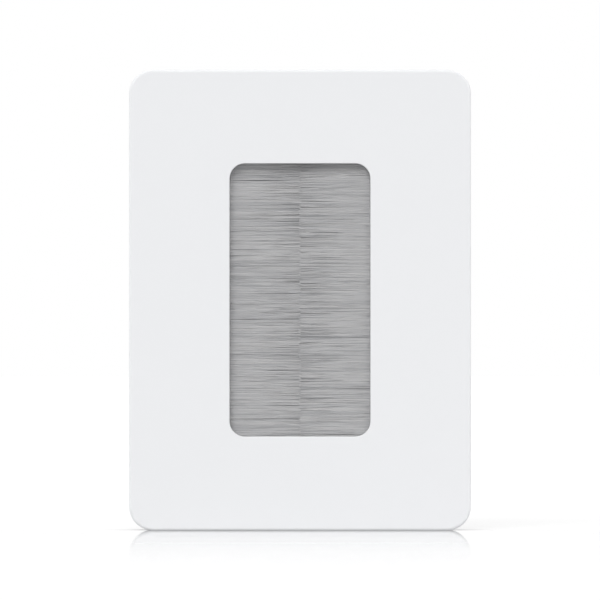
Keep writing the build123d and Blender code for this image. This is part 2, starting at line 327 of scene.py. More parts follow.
class MaterialSheet(NodeSheet):
    """The nodes of one material."""

    def __init__(self, name: str) -> None:
        """Starts an empty material.

        Args:
            name: The material's name.
        """
        self.material = bpy.data.materials.new(name)
        self.material.use_nodes = True
        super().__init__(self.material.node_tree)
        self.tree.nodes.clear()

    def place(self) -> bpy.types.NodeSocket:
        """The point's place in the piece's own coordinates."""
        return self.add("ShaderNodeTexCoord").outputs["Object"]

    def attribute(self, name: str) -> Field:
        """Value that the mesh stores under a name."""
        return self.field(self.add("ShaderNodeAttribute", attribute_name=name).outputs["Fac"])

    def group(self, tree: bpy.types.NodeTree, **values: Any) -> dict[str, Field]:
        """Places a shared group.

        Args:
            tree: The group's tree.
            values: Its inputs by name.

        Returns:
            Its outputs by name.
        """
        node = self.add("ShaderNodeGroup", values, node_tree=tree)
        return {socket.name: self.field(socket) for socket in node.outputs}

    def blend(self, share: Any, first: Tint | bpy.types.NodeSocket, second: Tint) -> bpy.types.NodeSocket:
        """Colour between two others.

        Args:
            share: Place between the two, from 0 to 1.
            first: Tint or colour socket at 0.
            second: Tint at 1.

        Returns:
            The colour socket.
        """
        start = first.linear() if isinstance(first, Tint) else first
        values = {MIX_FACTOR: share, MIX_FIRST: start, MIX_SECOND: second.linear()}
        return self.add("ShaderNodeMix", values, data_type="RGBA").outputs[MIX_RESULT]

    def bump(self, height: Any, depth: float) -> bpy.types.NodeSocket:
        """Normal that a height gives.

        Args:
            height: Height from 0 to 1.
            depth: Depth of the relief at a height of 1.

        Returns:
            The normal socket.
        """
        return self.add("ShaderNodeBump", {"Height": height, "Distance": depth}).outputs["Normal"]

    def finish(self, shader: bpy.types.Node) -> bpy.types.Material:
        """Links the surface.

        Args:
            shader: The node whose first output dresses the surface.

        Returns:
            The material.
        """
        self.add("ShaderNodeOutputMaterial", {"Surface": shader.outputs[0]})
        return self.material


@cache
def moulded_grain() -> bpy.types.NodeTree:
    """Shared effect of a spark-eroded mould: a fine pebbled relief and broad flow marks.

    Returns:
        The shader group.
    """
    speckles_per_grain, speckle_share, flow_share = 2.0, 0.4, 0.5
    sheet = GroupSheet("moulded_grain", "ShaderNodeTree")
    place = sheet.input("Place", "NodeSocketVector")
    fine = sheet.input("Grain Size") ** -1.0
    broad = sheet.input("Flow Size") ** -1.0
    pebbles = sheet.add("ShaderNodeTexVoronoi", {"Vector": place, "Scale": fine}, feature="SMOOTH_F1")
    pebble = sheet.field(pebbles.outputs["Distance"])
    speckle = sheet.noise(Vector=place, Scale=fine * speckles_per_grain, Detail=2.0)
    flow = sheet.noise(Vector=place, Scale=broad, Detail=1.0)
    sheet.output("Height", pebble.towards(speckle, speckle_share))
    sheet.output("Flow", flow.clamped())
    sheet.output("Polish", speckle.towards(flow, flow_share).clamped())
    return sheet.tree


@cache
def drawn_streaks() -> bpy.types.NodeTree:
    """Shared effect of metal drawn or rolled along Z: long fine streaks over a soft cloud.

    Returns:
        The shader group.
    """
    clouds_per_streak, tone_cloud, polish_cloud = 2.0, 0.4, 0.7
    sheet = GroupSheet("drawn_streaks", "ShaderNodeTree")
    place = sheet.input("Place", "NodeSocketVector")
    across = sheet.input("Streak Width") ** -1.0
    along = sheet.input("Streak Length") ** -1.0
    stretch = sheet.vector(across, across, along)
    stretched = sheet.add("ShaderNodeVectorMath", {0: place, 1: stretch}, operation="MULTIPLY")
    streak = sheet.noise(Vector=stretched.outputs[0], Scale=1.0, Detail=3.0)
    cloud = sheet.noise(Vector=place, Scale=along * clouds_per_streak, Detail=2.0)
    sheet.output("Height", streak)
    sheet.output("Tone", streak.towards(cloud, tone_cloud).clamped())
    sheet.output("Polish", streak.towards(cloud, polish_cloud).clamped())
    return sheet.tree


@cache
def plated_crystals() -> bpy.types.NodeTree:
    """Shared effect of zinc plating: small crystal patches of uneven shine.

    Returns:
        The shader group.
    """
    hazes_per_crystal, tone_haze, polish_haze = 0.3, 0.65, 0.6
    sheet = GroupSheet("plated_crystals", "ShaderNodeTree")
    place = sheet.input("Place", "NodeSocketVector")
    fine = sheet.input("Crystal Size") ** -1.0
    cells = sheet.add("ShaderNodeTexVoronoi", {"Vector": place, "Scale": fine})
    patch = sheet.add("ShaderNodeSeparateColor", {"Color": cells.outputs["Color"]})
    tone, polish = sheet.field(patch.outputs[0]), sheet.field(patch.outputs[1])
    haze = sheet.noise(Vector=place, Scale=fine * hazes_per_crystal, Detail=3.0)
    sheet.output("Tone", tone.towards(haze, tone_haze).clamped())
    sheet.output("Polish", polish.towards(haze, polish_haze).clamped())
    sheet.output("Height", haze)
    return sheet.tree


@dataclass(frozen=True)
class Finish(ABC):
    """What the finishes of the pieces share: a name, two tints and a range of roughness."""

    name: str
    shade: Tint
    tint: Tint
    smooth: float
    rough: float

    def roughness(self, dullness: Field) -> Field:
        """Roughness at a share of the way from smooth to rough."""
        return dullness * (self.rough - self.smooth) + self.smooth

    @abstractmethod
    def inputs(self, sheet: MaterialSheet) -> dict[str, Any]:
        """Adds the nodes that feed the surface.

        Args:
            sheet: Nodes of the material.

        Returns:
            Inputs of the surface shader by name.
        """

    def material(self) -> bpy.types.Material:
        """Builds the material."""
        sheet = MaterialSheet(self.name)
        return sheet.finish(sheet.add("ShaderNodeBsdfPrincipled", self.inputs(sheet)))


@dataclass(frozen=True)
class PlasticFinish(Finish):
    """Injection-moulded plastic with the fine texture of an eroded mould."""

    grain_size: float
    grain_depth: float
    flow_size: float = 18 * MM

    def inputs(self, sheet: MaterialSheet) -> dict[str, Any]:
        """Adds the mould's grain and flow marks.

        Args:
            sheet: Nodes of the material.

        Returns:
            Inputs of the surface shader by name.
        """
        sizes = {"Grain Size": self.grain_size, "Flow Size": self.flow_size}
        grain = sheet.group(moulded_grain(), Place=sheet.place(), **sizes)
        return {
            "Base Color": sheet.blend(grain["Flow"], self.shade, self.tint),
            "Roughness": self.roughness(grain["Polish"]),
            "Normal": sheet.bump(grain["Height"], self.grain_depth),
        }


@dataclass(frozen=True)
class DrawnFinish(Finish):
    """Metal drawn or rolled along Z."""

    streak_width: float
    streak_length: float
    streak_depth: float

    def inputs(self, sheet: MaterialSheet) -> dict[str, Any]:
        """Adds the streaks of the draw.

        Args:
            sheet: Nodes of the material.

        Returns:
            Inputs of the surface shader by name.
        """
        sizes = {"Streak Width": self.streak_width, "Streak Length": self.streak_length}
        streaks = sheet.group(drawn_streaks(), Place=sheet.place(), **sizes)
        return {
            "Base Color": sheet.blend(streaks["Tone"], self.shade, self.tint),
            "Metallic": 1.0,
            "Roughness": self.roughness(streaks["Polish"]),
            "Normal": sheet.bump(streaks["Height"], self.streak_depth),
        }


@dataclass(frozen=True)
class PlatedFinish(Finish):
    """Zinc plating on rolled or turned steel, with painted shade that darkens a thread's grooves."""

    crystal_size: float
    haze_depth: float
    # Dark tint and strength of the painted shade in a thread's grooves.
    groove_shade_tint: Tint = Tint(72, 71, 68)
    groove_shading: float = 0.75

    def inputs(self, sheet: MaterialSheet) -> dict[str, Any]:
        """Adds the plating's crystals and the painted shade in the grooves.

        Args:
            sheet: Nodes of the material.

        Returns:
            Inputs of the surface shader by name.
        """
        plating = sheet.group(plated_crystals(), Place=sheet.place(), **{"Crystal Size": self.crystal_size})
        unshaded = sheet.blend(plating["Tone"], self.shade, self.tint)
        return {
            # Painted shade: the plating is darkened towards a dark tint in the thread's grooves.
            "Base Color": sheet.blend(sheet.attribute(GROOVE) * self.groove_shading, unshaded, self.groove_shade_tint),
            "Metallic": 1.0,
            "Roughness": self.roughness(plating["Polish"]),
            "Normal": sheet.bump(plating["Height"], self.haze_depth),
        }


@dataclass(frozen=True)
class NylonFinish(Finish):
    """Grey nylon filament whose shade differs from one filament to the next and a little along each."""

    mottles: float = 14.0
    mottle_share: float = 0.3

    def inputs(self, sheet: MaterialSheet) -> dict[str, Any]:
        """Adds the filaments' shades and mottles, where the paler nylon is the smoother.

        Args:
            sheet: Nodes of the material.

        Returns:
            Inputs of the surface shader by name.
        """
        tone = sheet.attribute(TONE)
        spot = sheet.vector(tone * (self.mottles * self.mottles), sheet.attribute(RUN) * self.mottles, 0.0)
        mottle = sheet.noise("2D", Vector=spot, Scale=1.0, Detail=1.0)
        share = tone.towards(mottle, self.mottle_share).clamped()
        return {
            "Base Color": sheet.blend(share, self.shade, self.tint),
            "Roughness": self.roughness(share * -1.0 + 1.0),
        }


@dataclass(frozen=True)
class FloorFinish:
    """White studio floor that keeps shadows, dims where the object is close and mirrors its foot.

    Lift is the glow that whitens the floor, and spill is the share of it that also lights the object. The
    mirror starts at the depth of the object's foot and fades within fade in front of it and rear_fade behind.
    """

    name: str
    tint: Tint
    lift: float
    spill: float
    foot: float
    fade: float
    rear_fade: float
    contact: float
    polish: float
    blur: float = 0.04
    index: float = 1.5

    def mirror_share(self, sheet: MaterialSheet) -> Field:
        """Adds the fading gloss.

        Args:
            sheet: Nodes of the floor.

        Returns:
            The mirror's share of what the camera sees.
        """
        depth = sheet.field(sheet.add("ShaderNodeSeparateXYZ", {0: sheet.place()}).outputs["Y"])
        behind = depth - self.foot
        nearness = (behind / self.fade).math("MINIMUM", behind / -self.rear_fade).math("EXPONENT")
        gloss = sheet.field(sheet.add("ShaderNodeFresnel", {"IOR": self.index}).outputs[0]) * nearness
        return (gloss * self.polish).clamped() * sheet.add("ShaderNodeLightPath").outputs["Is Camera Ray"]

    def material(self) -> bpy.types.Material:
        """Builds the material.

        Returns:
            The material.
        """
        sheet = MaterialSheet(self.name)
        gloss = self.mirror_share(sheet)
        matt = sheet.add("ShaderNodeBsdfDiffuse", {"Color": self.tint.linear()})
        clear = sheet.add("ShaderNodeAmbientOcclusion", {"Distance": self.contact}).outputs["AO"]
        shown = seen_directly(sheet) * clear
        strength = (shown * (1.0 - self.spill) + self.spill) * self.lift
        glow = sheet.add("ShaderNodeEmission", {"Strength": strength})
        white = sheet.add("ShaderNodeAddShader", {0: matt.outputs[0], 1: glow.outputs[0]})
        mirror = sheet.add("ShaderNodeBsdfGlossy", {"Color": WHITE, "Roughness": self.blur})
        return sheet.finish(
            sheet.add("ShaderNodeMixShader", {0: gloss, 1: white.outputs[0], 2: mirror.outputs[0]})
        )


def seen_directly(sheet: NodeSheet) -> Field:
    """Adds the light path test for what the camera, a mirror or glass shows.

    Args:
        sheet: Nodes of a floor or a world.

    Returns:
        1 for those rays, and 0 for the rays that light the object.
    """
    path = sheet.add("ShaderNodeLightPath").outputs
    seen = sheet.field(path["Is Camera Ray"]) + path["Is Glossy Ray"] + path["Is Transmission Ray"]
    return seen.clamped()


def add_object(name: str, mesh: bpy.types.Mesh) -> bpy.types.Object:
    """Links a mesh into the scene as an object at the origin.

    Args:
        name: The object's name.
        mesh: Its mesh.

    Returns:
        The object.
    """
    made = bpy.data.objects.new(name, mesh)
    bpy.context.scene.collection.objects.link(made)
    return made


def bake_modifiers(made: bpy.types.Object) -> None:
    """Turns an object's modifiers into its plain mesh.

    Args:
        made: Object whose modifiers are evaluated and removed.
    """
    depsgraph = bpy.context.evaluated_depsgraph_get()
    evaluated = made.evaluated_get(depsgraph)
    mesh = bpy.data.meshes.new_from_object(evaluated, preserve_all_data_layers=True, depsgraph=depsgraph)
    made.modifiers.clear()
    made.data = mesh


def grow(
    name: str, host: bpy.types.Mesh, tree: bpy.types.NodeTree, values: dict[str, Any]
) -> bpy.types.Object:
    """Runs a geometry tree once and keeps its result as a plain mesh.

    Args:
        name: Name of the new object.
        host: Mesh that the tree starts from.
        tree: Geometry tree.
        values: Its inputs by name.

    Returns:
        The object, without modifiers.
    """
    made = add_object(name, host)
    modifier = made.modifiers.new("grow", "NODES")
    modifier.node_group = tree
    for item in tree.interface.items_tree:
        if item.in_out == "INPUT" and item.name in values:
            modifier[item.identifier] = values[item.name]
    bake_modifiers(made)
    return made


def adopt(piece: bpy.types.Object, slot: Slot, *nodes: str) -> None:
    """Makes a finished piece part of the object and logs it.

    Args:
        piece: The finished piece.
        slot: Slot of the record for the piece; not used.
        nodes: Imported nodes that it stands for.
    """
    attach(piece, BODY)
    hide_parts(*nodes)
    log.info("%s: %d faces in place of %s", piece.name, len(piece.data.polygons), ", ".join(nodes))


def dress(node: str, material: bpy.types.Material) -> None:
    """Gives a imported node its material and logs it.

    Args:
        node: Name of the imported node.
        material: Its finish.
    """
    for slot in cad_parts[node].material_slots:
        slot.link = "OBJECT"
        slot.material = material
    log.info("%s: packed shape with %s", node, material.name)


def lathe(profile: list[tuple[float, float]], steps: int) -> bpy.types.Mesh:
    """Turns a profile round the Z axis into a closed mesh.

    Args:
        profile: Radius and height of each ring from the bottom up; the ends are closed by flat discs.
        steps: Points in one ring.

    Returns:
        The mesh.
    """
    shape = bmesh.new()
    turns = [math.tau * step / steps for step in range(steps)]
    rings = [
        [shape.verts.new((radius * math.cos(turn), radius * math.sin(turn), height)) for turn in turns]
        for radius, height in profile
    ]
    for low, high in zip(rings, rings[1:]):
        for step in range(steps):
            after = (step + 1) % steps
            shape.faces.new((low[step], low[after], high[after], high[step]))
    shape.faces.new(reversed(rings[0]))
    shape.faces.new(rings[-1])
    mesh = bpy.data.meshes.new("lathe")
    shape.to_mesh(mesh)
    shape.free()
    return mesh


def tapered_bar(length: float, width: float, top: float, bottom: float, taper: float) -> bpy.types.Mesh:
    """Bar that narrows downwards, one arm pair of a cross drive.

    Args:
        length: Length at the top.
        width: Width at the top.
        top: Height of the top.
        bottom: Height of the bottom.
        taper: Share of the size that is left at the bottom.

    Returns:
        The mesh.
    """
    shape = bmesh.new()
    bmesh.ops.create_cube(shape, size=1.0)
    for vertex in shape.verts:
        low = vertex.co.z < 0.0
        scale = taper if low else 1.0
        x, y = vertex.co.x * length * scale, vertex.co.y * width * scale
        vertex.co = (x, y, bottom if low else top)
    mesh = bpy.data.meshes.new("drive_bar")
    shape.to_mesh(mesh)
    shape.free()
    return mesh


@cache
def screw_tree() -> bpy.types.NodeTree:
    """Geometry tree that puts a headed, threaded screw on each point of the host mesh.

    The screw stands along -Z below its seat, and its thread is one helical relief on a closed cylinder.

    Returns:
        The geometry tree.
    """
    # A zigzag with steeper flanks keeps narrow flats at the thread's root and crest.
    steepness, root_flat = 1.3, 0.15
    sheet = GroupSheet("screw_set", "GeometryNodeTree")
    seats = sheet.input("Seats", "NodeSocketGeometry")
    head = sheet.input("Head", "NodeSocketObject")
    length = sheet.input("Length")
    neck_length = sheet.input("Neck Length")
    neck_radius = sheet.input("Neck Radius")
    core_radius = sheet.input("Core Radius")
    crest_radius = sheet.input("Crest Radius")
    pitch = sheet.input("Pitch")
    point = sheet.input("Point")
    around = sheet.input("Around", "NodeSocketInt")
    rings = sheet.input("Rings", "NodeSocketInt")
    turn = sheet.input("Turn", "NodeSocketRotation")
    finish = sheet.input("Finish", "NodeSocketMaterial")

    shank = sheet.add(
        "GeometryNodeMeshCylinder",
        {"Vertices": around, "Side Segments": rings, "Radius": 1.0, "Depth": length},
    )
    place = sheet.add("ShaderNodeSeparateXYZ", {0: sheet.add("GeometryNodeInputPosition").outputs[0]})
    x, y, height = (sheet.field(socket) for socket in place.outputs)
    depth = length * 0.5 - height
    angle = y.math("ARCTAN2", x)
    ridge = (depth / pitch + angle / math.tau).math("PINGPONG", 0.5) * 2.0
    flank = (ridge * steepness - root_flat).clamped()
    threaded = ((depth - neck_length) / pitch).clamped()
    radius = neck_radius.towards(core_radius.towards(crest_radius, flank), threaded)
    radius = radius.math("MINIMUM", crest_radius - point + (length - depth))
    # The groove value marks where the plating's material paints shade into the thread.
    grooved = sheet.store(shank, GROOVE, threaded - threaded * flank)
    moved = sheet.add(
        "GeometryNodeSetPosition",
        {"Geometry": grooved.outputs[0], "Position": sheet.vector(x * radius, y * radius, depth * -1.0)},
    )
    head_mesh = sheet.add("GeometryNodeObjectInfo", {"Object": head}).outputs["Geometry"]
    screw = sheet.add("GeometryNodeJoinGeometry")
    sheet.feed(screw.inputs[0], head_mesh)
    sheet.feed(screw.inputs[0], moved.outputs[0])
    points = sheet.add("GeometryNodeMeshToPoints", {"Mesh": seats})
    copies = sheet.add(
        "GeometryNodeInstanceOnPoints",
        {"Points": points.outputs[0], "Instance": screw.outputs[0], "Rotation": turn},
    )
    whole = sheet.add("GeometryNodeRealizeInstances", {0: copies.outputs[0]})
    coated = sheet.add("GeometryNodeSetMaterial", {"Geometry": whole.outputs[0], "Material": finish})
    sheet.output("Screws", coated.outputs[0], "NodeSocketGeometry")
    return sheet.tree


@dataclass
class ScrewSet:
    """Equal pan-head screws with a cross drive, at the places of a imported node's screws."""

    name: str
    node: str
    seats: list[Vector]
    turn: Euler
    material: bpy.types.Material
    head_radius: float
    head_height: float
    drive_span: float
    drive_width: float
    drive_depth: float
    length: float
    neck_length: float
    neck_radius: float
    core_radius: float
    crest_radius: float
    pitch: float
    point: float
    around: int = 24
    rings_per_turn: int = 8
    head_around: int = 48
    shoulder_steps: int = 6
    rim_share: float = 0.45
    shoulder_share: float = 0.42
    rim_break: float = 0.1 * MM
    drive_taper: float = 0.55
    cut_above: float = 0.2 * MM

    def head_profile(self) -> list[tuple[float, float]]:
        """Rings of the pan head: a straight rim with a broken edge, and a round shoulder up to a flat top.

        Returns:
            Radius and height of each ring.
        """
        radius, edge = self.head_radius, self.rim_break
        rim = self.rim_share * self.head_height
        rings = [(radius - edge, 0.0), (radius, edge), (radius, rim)]
        for step in range(1, self.shoulder_steps + 1):
            turn = QUARTER_TURN * step / self.shoulder_steps
            inset = self.shoulder_share * radius * (1.0 - math.cos(turn))
            rings.append((radius - inset, rim + (self.head_height - rim) * math.sin(turn)))
        return rings

    def head(self) -> bpy.types.Object:
        """Makes the head with its drive recess, standing on the origin along +Z.

        Returns:
            The head, which the caller removes after use.
        """
        head = add_object(self.name + "_head", lathe(self.head_profile(), self.head_around))
        cutters = []
        for quarter in range(2):
            mesh = tapered_bar(
                self.drive_span,
                self.drive_width,
                self.head_height + self.cut_above,
                self.head_height - self.drive_depth,
                self.drive_taper,
            )
            mesh.transform(Matrix.Rotation(QUARTER_TURN * quarter, 4, "Z"))
            cutter = add_object(f"{self.name}_cutter_{quarter}", mesh)
            cut = head.modifiers.new("drive", "BOOLEAN")
            cut.object = cutter
            cut.solver = "EXACT"
            cutters.append(cutter)
        bake_modifiers(head)
        for cutter in cutters:
            bpy.data.objects.remove(cutter)
        return head

    def build(self) -> bpy.types.Object:
        """Makes all the screws as one piece and adopts it.

        Returns:
            The piece.
        """
        host = bpy.data.meshes.new(self.name)
        host.from_pydata([tuple(seat) for seat in self.seats], [], [])
        head = self.head()
        values = {
            "Head": head,
            "Length": self.length,
            "Neck Length": self.neck_length,
            "Neck Radius": self.neck_radius,
            "Core Radius": self.core_radius,
            "Crest Radius": self.crest_radius,
            "Pitch": self.pitch,
            "Point": self.point,
            "Around": self.around,
            "Rings": round(self.rings_per_turn * self.length / self.pitch),
            "Turn": self.turn,
            "Finish": self.material,
        }
        piece = grow(self.name, host, screw_tree(), values)
        bpy.data.objects.remove(head)
        soften_normals(piece.data)
        adopt(piece, Slot.SCREW, self.node)
        return piece


def soften_normals(mesh: bpy.types.Mesh, angle: float = math.radians(35.0)) -> None:
    """Shades a mesh smooth, apart from edges that turn by more than an angle.

    Args:
        mesh: Mesh to shade.
        angle: Largest turn that is shaded smooth.
    """
    mesh.polygons.foreach_set("use_smooth", [True] * len(mesh.polygons))
    mesh.set_sharp_from_angle(angle=angle)


@dataclass
class SoftEdged:
    """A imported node's shape with its sharp edges broken, as a moulded or deburred piece has them."""

    name: str
    node: str
    slot: Slot
    edge: float
    material: bpy.types.Material
    segments: int = 2
    merge: float = 0.002 * MM
    flat_turn: float = math.radians(1.0)
    sharp_turn: float = math.radians(40.0)
    smooth_turn: float = math.radians(60.0)
    face_weight: int = 100

    def build(self) -> bpy.types.Object:
        """Makes the piece and adopts it.

        Returns:
            The piece.
        """
        shape = bmesh.new()
        shape.from_mesh(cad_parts[self.node].data)
        bmesh.ops.remove_doubles(shape, verts=shape.verts, dist=self.merge)
        bmesh.ops.dissolve_limit(shape, angle_limit=self.flat_turn, verts=shape.verts, edges=shape.edges)
        mesh = bpy.data.meshes.new(self.name)
        shape.to_mesh(mesh)
        shape.free()
        mesh.materials.clear()
        mesh.materials.append(self.material)
        piece = add_object(self.name, mesh)
        bevel = piece.modifiers.new("broken_edges", "BEVEL")
        bevel.width = self.edge
        bevel.segments = self.segments
        bevel.limit_method = "ANGLE"
        bevel.angle_limit = self.sharp_turn
        bake_modifiers(piece)
        soften_normals(piece.data, self.smooth_turn)
        weigh = piece.modifiers.new("flat_faces", "WEIGHTED_NORMAL")
        weigh.keep_sharp = True
        weigh.weight = self.face_weight
        bake_modifiers(piece)
        adopt(piece, self.slot, self.node)
        return piece


@cache
def filament_tree() -> bpy.types.NodeTree:
    """Geometry tree of a strip brush: filaments that come from the seam, fold round the wire and go back.

    Each filament is a line of points, numbered from its front tip to its rear tip, that is bent into place.
    Its map for baking lays filaments of one shade on one another, because the shade is all that differs.

    Returns:
        The geometry tree.
    """
    leg_steps, bend_steps = 5, 2
    points = 2 * leg_steps + bend_steps + 1
    # Powers below 1 crowd the filaments into the outer layers, at the fold, halfway along and at the tips.
    fold_crowd, halfway_crowd, tip_crowd = 0.07, 0.09, 0.38
    # Powers above 1 keep points near the fold, the dip near the tips and most tips at full length.
    point_crowd, dip_crowd, length_crowd = 1.5, 3.0, 3.0
    # A filament leaves the fold's radius within a sixth of its leg.
    leaving = 6.0
    # Front and rear legs take their waves from places that lie far apart in the noise.
    rear_shift = 40.0
    # Width of a filament's strip in the map for baking, and the rise round it that gives its caps an area.
    strip_width, cap_height = 1.0 / 64.0, 1.0 / 100.0
    sheet = GroupSheet("strip_brush", "GeometryNodeTree")
    # The host's own mesh is empty and stays unused: the tree starts from the number of filaments.
    sheet.input("Host", "NodeSocketGeometry")
    count = sheet.input("Filaments", "NodeSocketInt")
    strip = sheet.input("Strip Length")
    fold_x = sheet.input("Fold X")
    fold_y = sheet.input("Fold Y")
    inner = sheet.input("Inner Bend")
    outer = sheet.input("Outer Bend")
    middle = sheet.input("Innermost")
    reach = sheet.input("Reach")
    scatter = sheet.input("Tip Scatter")
    overlap = sheet.input("Tip Overlap")
    tilt = sheet.input("Tilt")
    tuft = sheet.input("Tuft Size")
    comb = sheet.input("Comb")
    bow = sheet.input("Bow")
    dip = sheet.input("Tip Dip")
    thickness = sheet.input("Filament Radius")
    sides = sheet.input("Filament Sides", "NodeSocketInt")
    turn = sheet.input("Turn", "NodeSocketRotation")
    seed = sheet.input("Seed", "NodeSocketInt")
    finish = sheet.input("Finish", "NodeSocketMaterial")

    def chance(key: Field, draw: Draw) -> Field:
        """Random value between 0 and 1.

        Args:
            key: Number of the filament or leg that the value belongs to.
            draw: What the value is for.

        Returns:
            The value.
        """
        node = sheet.add("FunctionNodeRandomValue", data_type="FLOAT")
        sheet.feed(node.inputs["ID"], key)
        sheet.feed(node.inputs["Seed"], seed + float(draw))
        return sheet.field(node.outputs[1])

    line = sheet.add("GeometryNodeCurvePrimitiveLine")
    line = sheet.add("GeometryNodeResampleCurve", {"Curve": line.outputs[0], "Count": points})
    starts = sheet.add("GeometryNodePoints", {"Count": count})
    lines = sheet.add(
        "GeometryNodeInstanceOnPoints", {"Points": starts.outputs[0], "Instance": line.outputs[0]}
    )
    lines = sheet.add("GeometryNodeRealizeInstances", {0: lines.outputs[0]})

    whose = sheet.add("GeometryNodeCurveOfPoint")
    number = sheet.field(whose.outputs["Curve Index"])
    step = sheet.field(whose.outputs["Index in Curve"])
    half = leg_steps + 0.5 * bend_steps
    rear = step.math("GREATER_THAN", half)
    leg = number * 2.0 + rear
    bend = ((step - float(leg_steps)) / float(bend_steps)).clamped() * math.pi
    along = (((step - half).math("ABSOLUTE") - 0.5 * bend_steps) / float(leg_steps)).clamped() ** point_crowd
    first_half = (along * 2.0).clamped()
    second_half = (along * 2.0 - 1.0).clamped()

    layer = (number * GOLDEN_FRACTION).math("FRACT")
    bend_radius = inner.towards(outer, layer)
    halfway_layer = chance(leg, Draw.HALFWAY_LAYER) ** halfway_crowd
    tip_layer = chance(leg, Draw.TIP_LAYER) ** tip_crowd
    leg_layer = (layer ** fold_crowd).towards(halfway_layer, first_half).towards(tip_layer, second_half)
    leg_offset = middle.towards(outer, leg_layer) * (dip * along ** dip_crowd * -1.0 + 1.0)
    offset = bend_radius.towards(leg_offset, (along * leaving).clamped())

    start = (number + 0.5) / count
    jitter = (chance(number, Draw.ROOT) - 0.5) * strip / count
    root = (start - 0.5) * strip + jitter
    wave = sheet.noise("1D", W=root / tuft + rear * rear_shift + seed, Scale=1.0, Detail=1.0) - 0.5
    lean = (chance(leg, Draw.LEAN) - 0.5) * tilt
    arch = (along * math.pi).math("SINE") * (chance(leg, Draw.ARCH) - 0.5)
    height = root + along * (wave * comb + lean * reach) + arch * bow
    length = reach + overlap - chance(leg, Draw.TIP) ** length_crowd * scatter
    sideways = fold_x + bend_radius * bend.math("SINE") - along * length
    inwards = fold_y - offset * bend.math("COSINE")
    bent = sheet.add(
        "GeometryNodeSetPosition",
        {"Geometry": lines.outputs[0], "Position": sheet.vector(sideways, inwards, height)},
    )
    toned = sheet.store(bent, TONE, chance(leg, Draw.TONE))
    toned = sheet.store(toned, RUN, step / (points - 1.0))
    ring = sheet.add("GeometryNodeCurvePrimitiveCircle", {"Resolution": sides, "Radius": thickness})
    ring = sheet.store(ring, AROUND, sheet.field(sheet.add("GeometryNodeInputIndex").outputs[0]) / sides)
    tubes = sheet.add(
        "GeometryNodeCurveToMesh",
        {"Curve": toned.outputs[0], "Profile Curve": ring.outputs[0], "Fill Caps": True},
    )
    tone, run, around = (sheet.stored(name) for name in (TONE, RUN, AROUND))
    across = tone.towards(around, strip_width)
    lengthways = run.towards((around * 2.0 - 1.0).math("ABSOLUTE"), cap_height)
    mapped = sheet.store(tubes, BAKE_MAP, sheet.vector(across, lengthways, 0.0), "FLOAT2", "CORNER")
    turned = sheet.add("GeometryNodeTransform", {"Geometry": mapped.outputs[0], "Rotation": turn})
    whole = sheet.add("GeometryNodeRealizeInstances", {0: turned.outputs[0]})
    coated = sheet.add("GeometryNodeSetMaterial", {"Geometry": whole.outputs[0], "Material": finish})
    sheet.output("Brush", coated.outputs[0], "NodeSocketGeometry")
    return sheet.tree


@dataclass
class StripBrush:
    """One strip brush: its filaments, channel, core wire and strap."""

    side: Side
    seed: int
    channel: bpy.types.Material
    wire: bpy.types.Material
    strap: bpy.types.Material
    nylon: bpy.types.Material
    filaments: int = 1950
    filament_radius: float = 0.078 * MM
    filament_sides: int = 4
    tip_scatter: float = 0.7 * MM
    tip_overlap: float = 0.22 * MM
    tilt: float = math.radians(2.0)
    tuft: float = 1.2 * MM
    comb: float = 0.2 * MM
    bow: float = 0.3 * MM
    tip_dip: float = 0.2
    innermost: float = 0.06 * MM
    strap_edge: float = 0.12 * MM

    def grow_filaments(self) -> bpy.types.Object:
        """Makes the filaments from the right brush's wire and pack, turned to this side.

        Returns:
            The piece.
        """
        wire_low, wire_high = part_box("core_wire_right")
        pack_low, pack_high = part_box("bristles_right")
        fold = 0.5 * (wire_low + wire_high)
        wire_radius = 0.5 * (wire_high.x - wire_low.x)
        pack_radius = 0.5 * (pack_high.y - pack_low.y)
        values = {
            "Filaments": self.filaments,
            "Strip Length": pack_high.z - pack_low.z,
            "Fold X": fold.x,
            "Fold Y": fold.y,
            "Inner Bend": wire_radius + self.filament_radius,
            "Outer Bend": pack_radius - self.filament_radius,
            "Innermost": self.innermost,
            "Reach": fold.x,
            "Tip Scatter": self.tip_scatter,
            "Tip Overlap": self.tip_overlap,
            "Tilt": self.tilt,
            "Tuft Size": self.tuft,
            "Comb": self.comb,
            "Bow": self.bow,
            "Tip Dip": self.tip_dip,
            "Filament Radius": self.filament_radius,
            "Filament Sides": self.filament_sides,
            "Turn": Euler((0.0, self.side.value, 0.0)),
            "Seed": self.seed,
            "Finish": self.nylon,
        }
        host = bpy.data.meshes.new("filament_host")
        piece = grow("filaments_" + self.side.word, host, filament_tree(), values)
        piece.data.polygons.foreach_set("use_smooth", [True] * len(piece.data.polygons))
        adopt(piece, Slot.BRISTLE, "bristles_" + self.side.word)
        return piece

    def build(self) -> None:
        """Makes and dresses the whole brush."""
        self.grow_filaments()
        dress("brush_channel_" + self.side.word, self.channel)
        dress("core_wire_" + self.side.word, self.wire)
        strap = "brush_clamp_" + self.side.word
        SoftEdged("strap_" + self.side.word, strap, Slot.STRAP, self.strap_edge, self.strap).build()


@dataclass(frozen=True)
class Lamp:
    """A distant soft lamp.

    Its share is the light on a surface that faces it, as a share of full white. Its height above the horizon,
    its bearing from the front towards the right and the spread of its disc are in degrees.
    """

    name: str
    share: float
    height: float
    bearing: float
    spread: float

    def build(self) -> None:
        """Hangs the lamp and aims it at the plate."""
        lamp = bpy.data.lights.new(self.name, "SUN")
        lamp.energy = self.share * math.pi
        lamp.angle = math.radians(self.spread)
        made = bpy.data.objects.new(self.name, lamp)
        height, bearing = math.radians(self.height), math.radians(self.bearing)
        level = math.cos(height)
        away = Vector((math.sin(bearing) * level, -math.cos(bearing) * level, math.sin(height)))
        made.rotation_euler = away.to_track_quat("Z", "Y").to_euler()
        made.location = away
        bpy.context.scene.collection.objects.link(made)


